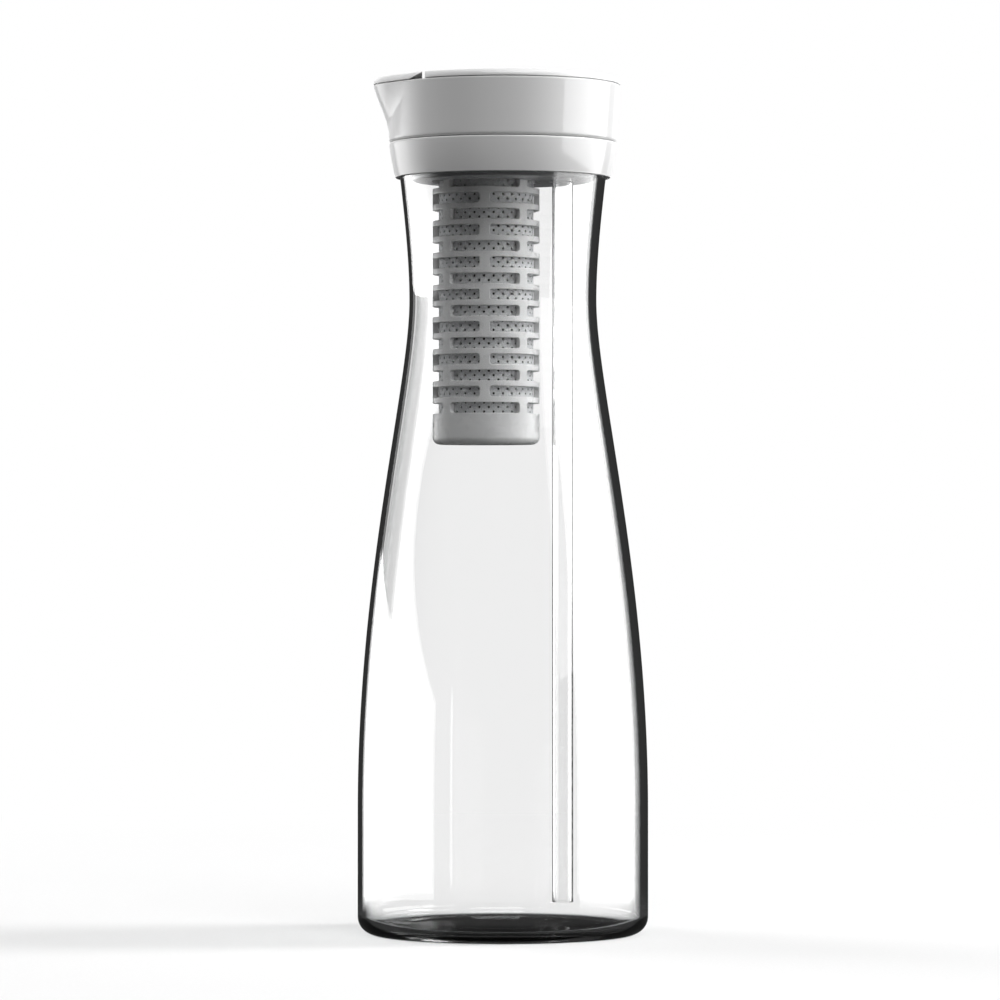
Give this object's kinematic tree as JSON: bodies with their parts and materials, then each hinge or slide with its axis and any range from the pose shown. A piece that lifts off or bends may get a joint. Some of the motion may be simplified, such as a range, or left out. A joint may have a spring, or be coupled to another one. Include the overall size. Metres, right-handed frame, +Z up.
{
  "type": "water filter carafe",
  "caption": "Clear glass carafe drawn in at the neck, with a two-tier white lid, a pouring lip under a rocker flap, a slotted filter cage and an air tube.",
  "frame": {"origin": "centre of the base on the table", "axes": "+Z up along the carafe's axis, -X towards the pouring lip"},
  "size_m": [0.1, 0.1, 0.2946],
  "materials": {
    "glass": "clear polished glass",
    "lid_plastic": "glossy white plastic",
    "cage_plastic": "satin white plastic",
    "sleeve_plastic": "satin pale grey plastic",
    "clear_plastic": "clear plastic tube",
    "silicone": "matt pale silicone",
    "steel": "plain stainless steel",
    "carbon": "pressed activated carbon",
    "fleece": "white fleece"
  },
  "bodies": {
    "carafe": {"glass_carafe": "glass"},
    "lid": {"lid_collar": "lid_plastic", "filter_holder": "lid_plastic", "neck_gasket": "silicone", "cap_seal": "silicone", "vent_tube": "clear_plastic", "vent_grommet": "silicone"},
    "cap": {"spout_ring": "lid_plastic", "top_cover": "lid_plastic", "flap_pin": "steel"},
    "flap": {"spout_flap": "lid_plastic", "flap_seal": "silicone"},
    "filter": {"filter_cage": "cage_plastic", "cage_seal": "silicone", "cartridge_sleeve": "sleeve_plastic", "cartridge_bottom_cap": "sleeve_plastic", "cartridge_top_cap": "sleeve_plastic", "carbon_block": "carbon", "fleece_wrap": "fleece", "nozzle_seal": "silicone", "outlet_mesh": "steel"}
  },
  "joints": [
    {"name": "lid_lift", "type": "slide", "parent": "carafe", "child": "lid", "axis": [0, 0, 1], "range_m": [0, 0.27]},
    {"name": "cap_lift", "type": "slide", "parent": "lid", "child": "cap", "axis": [0, 0, 1], "range_m": [0, 0.05]},
    {"name": "flap_tilt", "type": "hinge", "parent": "cap", "child": "flap", "pos_m": [-0.0323, 0, 0.2923], "axis": [0, 1, 0], "range_deg": [0, 25]},
    {"name": "filter_pull", "type": "slide", "parent": "lid", "child": "filter", "axis": [0, 0, -1], "range_m": [0, 0.06]}
  ]
}
